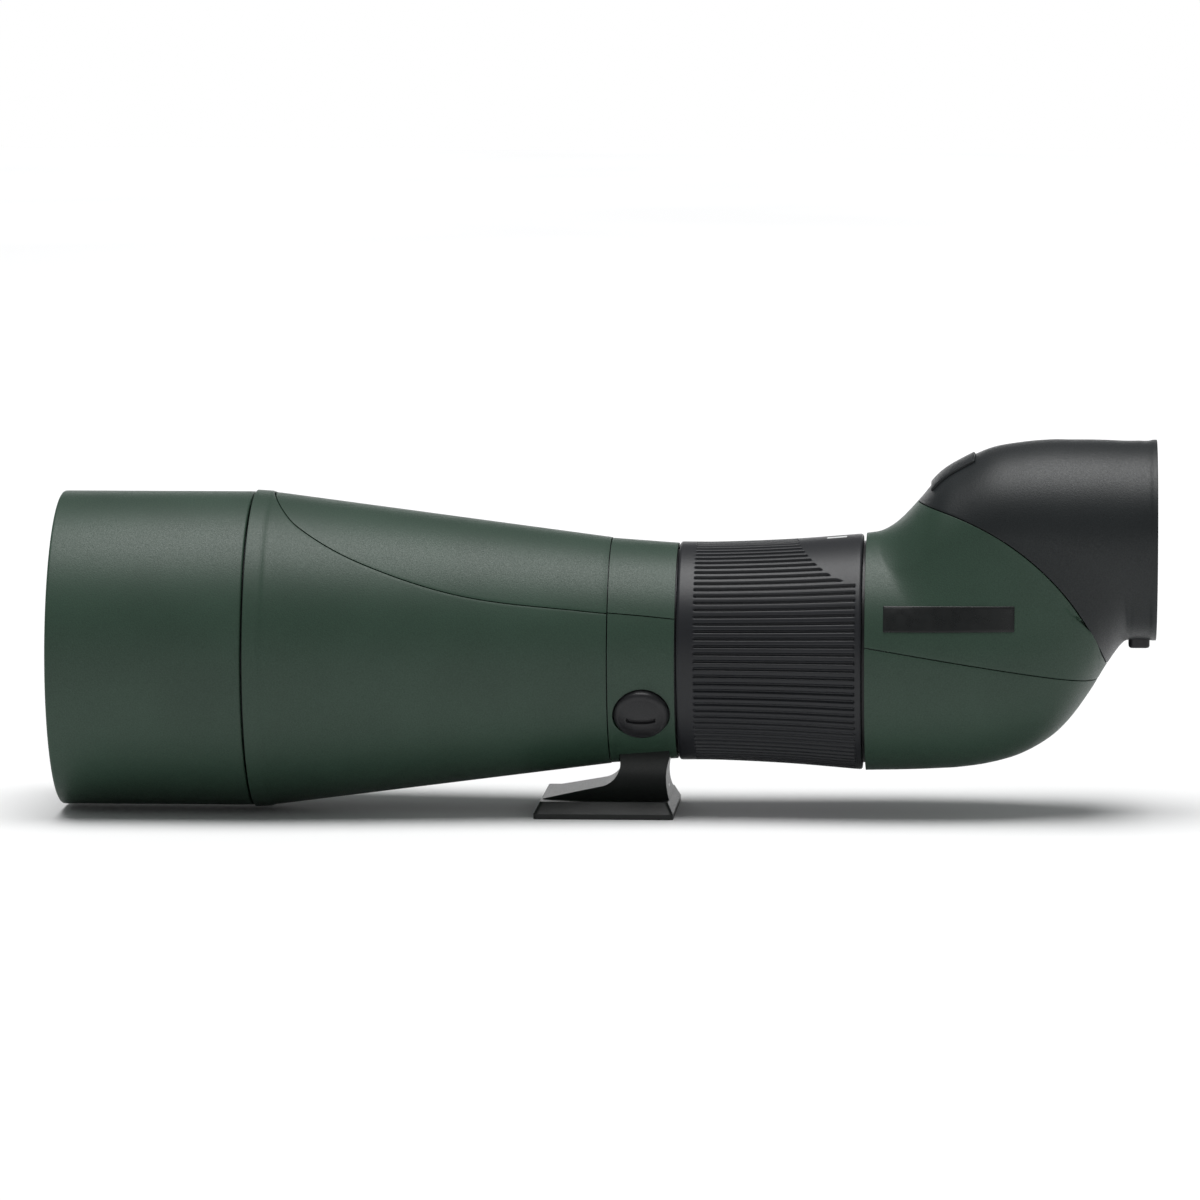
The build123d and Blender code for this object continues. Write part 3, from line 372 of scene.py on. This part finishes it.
def cone():
    """The cone's armour below its curved seam, and the panel above it."""
    stations = spread(CONE_FRONT, SHOULDER_END, 12) + [
        SHOULDER_END + (CONE_REAR - SHOULDER_END) * (i / 60) ** 1.5 for i in range(1, 61)
    ]
    lower_rows = []
    for x in stations:
        angle = seam_angle(x, cone_radius(x), -SEAM_HALF)
        lower_rows.append(round_row(x, cone_radius(x), angle, -math.pi - angle, 160))
    lower = mesh_object("cone_skin", lower_rows, GREEN)
    thicken(lower, PANEL_WALL, CONE_EDGE, AXIS_Z)

    panel_rows = []
    for i in range(80):
        x = PANEL_TIP + (CONE_REAR - PANEL_TIP) * (i / 79) ** 1.6
        angle = seam_angle(x, cone_radius(x), SEAM_HALF)
        panel_rows.append(round_row(x, cone_radius(x), angle, math.pi - angle, 90))
    panel = mesh_object("cone_panel_skin", panel_rows, GREEN)
    thicken(panel, PANEL_WALL, CONE_EDGE, AXIS_Z)
    for piece, node in ((lower, "cone_armour"), (panel, "cone_top_panel")):
        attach(piece, "scope")
        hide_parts(node)


cone()

# ---------------------------------------------------------------- clamp knob
KNOB_TILT = math.radians(30.0)
KNOB_RADIUS, KNOB_BASE, KNOB_RIM, KNOB_TOP = 8.4, 31.9, 34.0, 37.3
KNOB_TURNS = 240
SLOT_LONG, SLOT_WIDE, SLOT_DEEP, SLOT_SLOPE = 9.0, 1.6, 1.0, 0.3
RING_LONG = 20.7


def knob_frame(x, y, z):
    """Place of a point beside (x, y) and along (z) the knob's axis, in metres."""
    out = Vector((0, -math.cos(KNOB_TILT), -math.sin(KNOB_TILT)))
    up = Vector((0, -math.sin(KNOB_TILT), math.cos(KNOB_TILT)))
    centre = Vector(((CONE_REAR + RING_LONG / 2) * MM, 0, AXIS_Z))
    return centre + (Vector((1, 0, 0)) * x + up * y + out * z) * MM


def knob_dish(radius):
    """Height of the dome over a place on it."""
    drop = KNOB_TOP - KNOB_RIM
    return KNOB_TOP - drop * (radius / KNOB_RADIUS) ** 2


def slot_depth(x, y):
    """Depth of the coin slot under a place on the dome."""
    along = ease((SLOT_LONG / 2 - abs(x)) / SLOT_SLOPE)
    return SLOT_DEEP * along * ease((SLOT_WIDE / 2 - abs(y)) / SLOT_SLOPE)


def clamp_knob():
    """Domed knob with a coin slot pressed into it."""
    profile = [(r, knob_dish(r)) for r in spread(0.0, KNOB_RADIUS - 1.7, 70)]
    start, end = Vector(profile[-1]), Vector((KNOB_RADIUS, KNOB_RIM - 0.9))
    peak = Vector((KNOB_RADIUS, knob_dish(KNOB_RADIUS - 1.1) - 0.1))
    profile += [bezier(start, peak, end, t) for t in spread(0.1, 1.0, 10)]
    profile += [(KNOB_RADIUS, KNOB_BASE + 0.1), (KNOB_RADIUS - 0.1, KNOB_BASE), (0.0, KNOB_BASE)]
    rows = []
    for radius, height in profile:
        row = []
        for i in range(KNOB_TURNS):
            angle = 2 * math.pi * i / KNOB_TURNS
            x, y = radius * math.cos(angle), radius * math.sin(angle)
            sunk = slot_depth(x, y) if height > KNOB_RIM else 0.0
            row.append(knob_frame(x, y, height - sunk))
        rows.append(row)
    knob = mesh_object("knob_domed", rows, MOULDED, closed_loop=True)
    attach(knob, "clamp_knob")
    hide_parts("clamp_knob")


clamp_knob()

# ---------------------------------------------------------------- ribbed focus grip
grip_low, grip_high = box_mm("focus_grip")
GRIP_FRONT, GRIP_REAR = grip_low.x, grip_high.x
RIBS, PER_RIB = 92, 12
RIB_DEEP = 0.75
# TONGUE_RADIUS turns an angle beside the tongue into millimetres
GRIP_BORE, TONGUE_RADIUS = 30.7, 36.0
BAND_END, RIM_START = GRIP_FRONT + 4.9, GRIP_REAR - 1.8
TONGUE_TIP, TONGUE_HALF = GRIP_REAR - 20.0, math.radians(49.5)
GRIP_OUTLINE = ((22.3, 33.3), (34.0, 33.3), (56.0, 34.25), (77.2, 35.9), (78.0, 35.9))


def grip_radius(x):
    """Outer radius of the grip over its ribs."""
    return smooth_through(GRIP_OUTLINE, x)


def on_ribs(x, angle):
    """How far a place on the grip is cut by ribs, from 0 on smooth ground to 1."""
    along = ease((x - BAND_END) / 0.8) * ease((RIM_START - x) / 0.5)
    reach = max(GRIP_REAR - x, 0.0) / (GRIP_REAR - TONGUE_TIP)
    from_top = abs(math.atan2(math.cos(angle), math.sin(angle)))
    if reach < 1.0:
        edge = TONGUE_HALF * math.sqrt(1.0 - reach**2)
        along *= ease((from_top - edge) * TONGUE_RADIUS / 0.5)
    return along


def groove(angle):
    """Depth of one groove between ribs: flat crown, round floor."""
    phase = (angle / (2 * math.pi) * RIBS) % 1.0
    return ease((abs(phase - 0.5) * 2 - 0.42) / 0.4)


def grip_ring(x, radius_at):
    """Closed row round the grip; radius_at gives the radius at an angle."""
    row = []
    for i in range(RIBS * PER_RIB):
        angle = 2 * math.pi * i / (RIBS * PER_RIB)
        row.append(on_axis(x, radius_at(angle), angle))
    return row


def focus_grip():
    """Ribbed rubber sleeve with a smooth front band, a rim and a smooth tongue on top."""
    stations = (
        [GRIP_FRONT, GRIP_FRONT + 0.12, GRIP_FRONT + 0.4]
        + spread(GRIP_FRONT + 1.0, BAND_END, 5)
        + spread(BAND_END + 0.1, BAND_END + 1.0, 5)
        + spread(BAND_END + 2.0, TONGUE_TIP - 1.5, 12)
        + spread(TONGUE_TIP - 1.0, RIM_START - 0.7, 70)
        + spread(RIM_START - 0.55, RIM_START + 0.1, 5)
        + [GRIP_REAR - 0.8, GRIP_REAR - 0.3, GRIP_REAR - 0.08, GRIP_REAR]
    )
    rows = []
    for x in stations:
        front_drop = 0.5 * (1 - ease((x - GRIP_FRONT) / 0.5))
        drop = front_drop + 0.45 * ease((x - GRIP_REAR + 0.45) / 0.45)

        def ribbed(angle, x=x, drop=drop):
            return grip_radius(x) - drop - RIB_DEEP * groove(angle) * on_ribs(x, angle)

        rows.append(grip_ring(x, ribbed))
    for x in (GRIP_REAR, GRIP_FRONT):
        rows.append(grip_ring(x, lambda angle: GRIP_BORE))
    rows.append(rows[0])
    grip = mesh_object("focus_grip_ribbed", rows, GRIP, closed_loop=True)
    face_outwards(grip, AXIS_Z)
    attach(grip, "focus_ring")
    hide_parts("focus_grip")


def index_mark():
    """Short printed line on the tongue."""
    start, end = math.radians(83.0), math.radians(86.0)
    rows = []
    for x in spread(GRIP_REAR - 11.0, GRIP_REAR - 5.0, 12):
        rows.append(round_row(x, grip_radius(x) + 0.03, start, end, 4))
    mark = mesh_object("focus_index_mark", rows, INK)
    thicken(mark, 0.06 * MM, 0.01 * MM, AXIS_Z)
    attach(mark, "focus_ring")


focus_grip()
index_mark()

# ---------------------------------------------------------------- prism housing
# each station: x, bottom z, top z, radius of the lower round, radius of the upper round
STATIONS = (
    (79.0, 12.9, 85.2, 36.1, 33.0),
    (84.0, 13.0, 86.2, 36.1, 32.0),
    (89.0, 13.1, 89.4, 36.0, 30.5),
    (95.2, 13.3, 95.9, 35.9, 29.0),
    (101.3, 13.6, 103.0, 35.7, 28.3),
    (107.4, 14.0, 107.1, 35.3, 28.3),
    (116.6, 15.4, 111.4, 34.3, 29.0),
    (126.0, 18.2, 113.2, 32.8, 30.0),
    (134.9, 23.3, 114.0, 31.0, 30.5),
    (141.0, 29.2, 114.0, 29.6, 30.5),
    (147.1, 37.7, 114.0, 28.6, 30.5),
    (152.0, 45.8, 113.9, 28.3, 30.4),
    (157.0, 52.5, 113.7, 29.6, 30.3),
    (160.0, 53.2, 113.7, 30.2, 30.2),
    (164.4, 53.2, 113.7, 30.2, 30.2),
    (165.6, 53.0, 114.0, 30.5, 30.5),
    (166.9, 53.0, 114.0, 30.5, 30.5),
)
# the rear cover's front edge is an arc, seen from the side
BOUNDARY_X, BOUNDARY_Z, BOUNDARY_R = 80.2, 20.3, 76.4
BOUNDARY_LIMIT = 160.0
SEAM_Z0, SEAM_SLOPE = 53.6, -0.1689
HOUSING_FRONT, COLLAR_REAR = STATIONS[0][0], STATIONS[-1][0]
# a height inside the housing, in metres, from which its skins face outwards
HOUSING_MID = 0.060


def housing_point(x, share):
    """Point on one side of the housing; share runs from the bottom (0) to the top (1)."""
    bottom, top, lower_r, upper_r = (
        smooth_through([(s[0], s[column]) for s in STATIONS], x) for column in (1, 2, 3, 4)
    )
    lower_z, upper_z = bottom + lower_r, top - upper_r
    z = (bottom + top) / 2 - (top - bottom) / 2 * math.cos(math.pi * share)
    apart = max(upper_z - lower_z, 0.01)
    lean = math.asin(max(min((lower_r - upper_r) / apart, 0.999), -0.999))
    low_touch, high_touch = lower_z + lower_r * math.sin(lean), upper_z + upper_r * math.sin(lean)
    if z < low_touch:
        return math.sqrt(max(lower_r**2 - (z - lower_z) ** 2, 0.0)), z
    if z > high_touch:
        return math.sqrt(max(upper_r**2 - (z - upper_z) ** 2, 0.0)), z
    t = (z - low_touch) / max(high_touch - low_touch, 1e-6)
    return (lower_r + t * (upper_r - lower_r)) * math.cos(lean), z


def solve(function, low, high):
    """Where a function with one change of sign crosses zero."""
    rising = function(high) > 0
    for _ in range(28):
        mid = (low + high) / 2
        if (function(mid) > 0) == rising:
            high = mid
        else:
            low = mid
    return (low + high) / 2


def seam_share(x, shift):
    """How far up the side the seam between the shells lies at a station."""
    height = SEAM_Z0 + SEAM_SLOPE * (x - HOUSING_FRONT) + shift
    return solve(lambda share: housing_point(x, share)[1] - height, 0.0, 1.0)


def boundary_x(share_at, gap):
    """Where a line along the housing meets the curved edge of the rear cover."""

    def beyond(x):
        z = housing_point(x, share_at(x))[1]
        return math.hypot(x - BOUNDARY_X, z - BOUNDARY_Z) - BOUNDARY_R - gap

    return solve(beyond, HOUSING_FRONT, BOUNDARY_LIMIT)


def skin(name, shares, front_of, rear_of, count, material):
    """Patch of housing; shares are functions of x on the near half, mirrored to the far half."""
    columns = []
    for share_at in shares:
        front, rear = front_of(share_at), rear_of(share_at)
        columns.append([(x, *housing_point(x, share_at(x))) for x in spread(front, rear, count)])
    near = [[(x * MM, -y * MM, z * MM) for x, y, z in column] for column in columns]
    far = [[(x * MM, y * MM, z * MM) for x, y, z in column] for column in reversed(columns)]
    return mesh_object(name, near + far[1:], material)


def above_seam(part_way):
    """Share of the side a part of the way from the seam to the top."""

    def share_at(x):
        seam = seam_share(x, SEAM_HALF)
        return seam + part_way * (1.0 - seam)

    return share_at


def below_seam(part_way):
    """Share of the side a part of the way from the bottom to the seam."""
    return lambda x: part_way * seam_share(x, -SEAM_HALF)


def housing():
    """Upper and lower shell, and the black cover that runs into the collar."""

    def before_edge(share_at):
        return boundary_x(share_at, -SEAM_HALF)

    def after_edge(share_at):
        return boundary_x(share_at, SEAM_HALF)

    upper_shares = [above_seam(u) for u in spread(0.0, 1.0, 60)]
    upper = skin(
        "upper_shell_skin", upper_shares, lambda s: HOUSING_FRONT, before_edge, 90, GREEN
    )
    lower_shares = [below_seam(u) for u in spread(1.0, 0.0, 50)]
    lower = skin(
        "lower_shell_skin", lower_shares, lambda s: HOUSING_FRONT, before_edge, 70, GREEN
    )
    cover_shares = [lambda x, u=u: u for u in spread(0.0, 1.0, 140)]
    cover = skin("rear_cover_skin", cover_shares, after_edge, lambda s: COLLAR_REAR, 90, BLACK)
    for piece, slot, nodes in (
        (upper, "green_shell", ("upper_housing_shell",)),
        (lower, "green_shell", ("lower_housing_shell",)),
        (cover, "black_cover", ("rear_cover", "eyepiece_collar")),
    ):
        thicken(piece, PANEL_WALL, HOUSING_EDGE, HOUSING_MID)
        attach(piece, "scope")
        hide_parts(*nodes)


housing()


# ---------------------------------------------------------------- blank badge plates
BADGE_X0, BADGE_X1, BADGE_Z, BADGE_HALF = 84.6, 124.0, 62.2, 3.85
BADGE_STAND, BADGE_WALL = 0.3, 0.8 * MM
PLATE_X0, PLATE_X1, PLATE_HALF, PLATE_STAND = 98.8, 112.0, 10.0, 0.7
PLATE_WALL = 1.4 * MM


def badge_plate(name, side, node):
    """Thin plate that follows the housing; side is -1 for the near side and 1 for the far side."""
    rows = []
    for z in spread(BADGE_Z - BADGE_HALF, BADGE_Z + BADGE_HALF, 9):
        row = []
        for x in spread(BADGE_X0, BADGE_X1, 40):
            share = solve(lambda s, x=x, z=z: housing_point(x, s)[1] - z, 0.0, 1.0)
            row.append((x * MM, side * (housing_point(x, share)[0] + BADGE_STAND) * MM, z * MM))
        rows.append(row)
    plate = mesh_object(name, rows, PLATE)
    thicken(plate, BADGE_WALL, HOUSING_EDGE, HOUSING_MID)
    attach(plate, "scope")
    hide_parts(node)


def crown_plate():
    """Low raised plate over the front slope of the rear cover."""
    rows = []
    for x in spread(PLATE_X0, PLATE_X1, 30):
        row = []
        for y in spread(-PLATE_HALF, PLATE_HALF, 24):
            share = solve(lambda s, x=x, y=y: abs(y) - housing_point(x, s)[0], 0.7, 1.0)
            height = housing_point(x, share)[1] + PLATE_STAND
            row.append(((x - PLATE_STAND * 0.6) * MM, y * MM, height * MM))
        rows.append(row)
    plate = mesh_object("crown_plate", rows, BLACK)
    thicken(plate, PLATE_WALL, CONE_EDGE, HOUSING_MID)
    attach(plate, "scope")
    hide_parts("top_plate")


crown_plate()
badge_plate("near_badge", -1, "near_badge_plate")
badge_plate("far_badge", 1, "far_badge_plate")


# ---------------------------------------------------------------- floor, light and camera
FLOOR_HALF = 6.0
OVERHEAD_STRENGTH, OVERHEAD_SPREAD, OVERHEAD_LEAN = 3.1, 46.0, -2.0
FILL_POWER, BACK_POWER, WORLD_CAST = 1.5, 11.0, 0.22
ELEVATION = math.radians(5.8)
DISTANCE = 2.257
SQUARE_ON_X = 0.1257
LOOK_AT = (-0.0024, 0.0, 0.0643)
SENSOR_WIDTH, VIEW_WIDTH = 36.0, 0.366


def floor():
    """Pale seamless ground."""
    mesh = bmesh.new()
    bmesh.ops.create_grid(mesh, x_segments=8, y_segments=8, size=FLOOR_HALF)
    data = bpy.data.meshes.new("floor")
    mesh.to_mesh(data)
    mesh.free()
    ground = bpy.data.objects.new("floor", data)
    material, nodes, links, shader = new_material("pale_floor")
    tone = ramp(
        nodes, links, noise(nodes, links, 2.0).outputs["Fac"],
        [(0.3, grey(0.86)), (0.7, grey(0.90))],
    )
    links.new(tone.outputs["Color"], shader.inputs["Base Color"])
    shader.inputs["Roughness"].default_value = 0.9
    ground.data.materials.append(material)
    bpy.context.scene.collection.objects.link(ground)


def area_light(name, place, target, size, power):
    """Rectangular soft light aimed at a point."""
    data = bpy.data.lights.new(name, "AREA")
    data.shape = "RECTANGLE"
    data.size, data.size_y = size
    data.energy = power
    light = bpy.data.objects.new(name, data)
    light.location = place
    light.rotation_euler = (Vector(target) - Vector(place)).to_track_quat("-Z", "Y").to_euler()
    light.visible_camera = False
    bpy.context.scene.collection.objects.link(light)


def overhead_light(strength, spread_degrees, lean_degrees):
    """Even broad light from above, leaning towards the camera."""
    data = bpy.data.lights.new("overhead", "SUN")
    data.energy = strength
    data.angle = math.radians(spread_degrees)
    light = bpy.data.objects.new("overhead", data)
    light.rotation_euler = (-math.radians(lean_degrees), 0, 0)
    bpy.context.scene.collection.objects.link(light)


def studio_world():
    """White surroundings to look at, with a dimmer light from them."""
    world = bpy.data.worlds.new("studio")
    world.use_nodes = True
    nodes, links = world.node_tree.nodes, world.node_tree.links
    seen = nodes["Background"]
    seen.inputs["Color"].default_value = (1.0, 1.0, 1.0, 1)
    seen.inputs["Strength"].default_value = 1.0
    cast = nodes.new("ShaderNodeBackground")
    cast.inputs["Color"].default_value = (0.96, 0.98, 1.0, 1)
    cast.inputs["Strength"].default_value = WORLD_CAST
    path = nodes.new("ShaderNodeLightPath")
    pick = nodes.new("ShaderNodeMixShader")
    links.new(path.outputs["Is Camera Ray"], pick.inputs["Fac"])
    links.new(cast.outputs["Background"], pick.inputs[1])
    links.new(seen.outputs["Background"], pick.inputs[2])
    links.new(pick.outputs["Shader"], nodes["World Output"].inputs["Surface"])
    bpy.context.scene.world = world


def camera_view():
    """Camera a little above the scope, square on to a place near its middle."""
    data = bpy.data.cameras.new("camera")
    data.sensor_width = SENSOR_WIDTH
    data.lens = SENSOR_WIDTH * DISTANCE / VIEW_WIDTH
    camera = bpy.data.objects.new("camera", data)
    camera.location = (
        SQUARE_ON_X,
        -DISTANCE * math.cos(ELEVATION),
        AXIS_Z + DISTANCE * math.sin(ELEVATION),
    )
    aim = Vector(LOOK_AT) - camera.location
    camera.rotation_euler = aim.to_track_quat("-Z", "Y").to_euler()
    bpy.context.scene.collection.objects.link(camera)
    bpy.context.scene.camera = camera


floor()
overhead_light(OVERHEAD_STRENGTH, OVERHEAD_SPREAD, OVERHEAD_LEAN)
area_light("front_fill", (-0.2, -2.2, 0.25), (0, 0, 0.04), (1.8, 0.25), FILL_POWER)
area_light("back_soft_box", (0.0, 3.0, 0.55), (0, 0, 0.05), (3.0, 0.7), BACK_POWER)
studio_world()
bpy.context.scene.view_settings.view_transform = "Standard"
camera_view()
